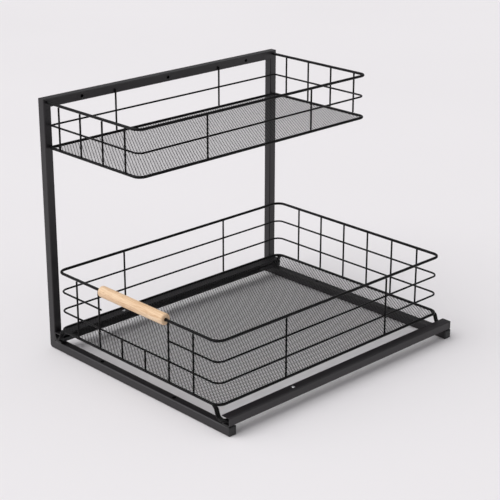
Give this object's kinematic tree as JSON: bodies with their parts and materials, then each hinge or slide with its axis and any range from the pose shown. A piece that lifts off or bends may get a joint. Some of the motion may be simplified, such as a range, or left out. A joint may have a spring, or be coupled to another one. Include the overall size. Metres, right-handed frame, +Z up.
{
  "type": "pull-out cabinet basket",
  "caption": "Two-tier cabinet organiser of square tube and wire: a fixed upper basket and a lower basket with a wooden grip that slides out on side rails.",
  "frame": {"origin": "middle of the base of the overall box, on the cabinet floor", "axes": "+Z up, the lower basket slides out towards -Y, the posts stand on the -X side"},
  "size_m": [0.38, 0.4554, 0.37],
  "materials": {
    "black_powder_coat": "satin black powder coat on steel tube and wire",
    "black_mesh": "satin black powder coat on expanded steel mesh",
    "black_plastic": "matte moulded plastic",
    "grey_nylon": "smooth nylon",
    "bright_steel": "bright zinc-plated steel",
    "pale_wood": "sanded pale wood, clear lacquer"
  },
  "bodies": {
    "frame": {"front_frame": "black_powder_coat", "rear_frame": "black_powder_coat", "top_bar": "black_powder_coat", "front_foot_cap": "black_plastic", "rear_foot_cap": "black_plastic", "rail_seats": "black_powder_coat", "left_rail": "black_powder_coat", "right_rail": "black_powder_coat", "left_rail_cap": "black_plastic", "right_rail_cap": "black_plastic", "left_rail_guide": "grey_nylon", "right_rail_guide": "grey_nylon", "left_stop_rivet": "bright_steel", "right_stop_rivet": "bright_steel", "upper_rim": "black_powder_coat", "upper_middle_wire": "black_powder_coat", "upper_floor_wire": "black_powder_coat", "upper_front_uprights": "black_powder_coat", "upper_rear_uprights": "black_powder_coat", "upper_right_uprights": "black_powder_coat", "upper_wall_uprights": "black_powder_coat", "upper_mesh": "black_mesh"},
    "basket": {"lower_rim": "black_powder_coat", "lower_second_wire": "black_powder_coat", "lower_third_wire": "black_powder_coat", "lower_floor_wire": "black_powder_coat", "lower_front_uprights": "black_powder_coat", "lower_short_uprights": "black_powder_coat", "lower_rear_uprights": "black_powder_coat", "lower_left_uprights": "black_powder_coat", "lower_right_uprights": "black_powder_coat", "lower_mesh": "black_mesh", "left_runner_outer": "black_powder_coat", "left_runner_inner": "black_powder_coat", "right_runner_outer": "black_powder_coat", "right_runner_inner": "black_powder_coat", "left_glide": "grey_nylon", "right_glide": "grey_nylon", "grip": "pale_wood"}
  },
  "joints": [
    {"name": "basket_slide", "type": "slide", "parent": "frame", "child": "basket", "axis": [0, -1, 0], "range_m": [0, 0.275]}
  ]
}
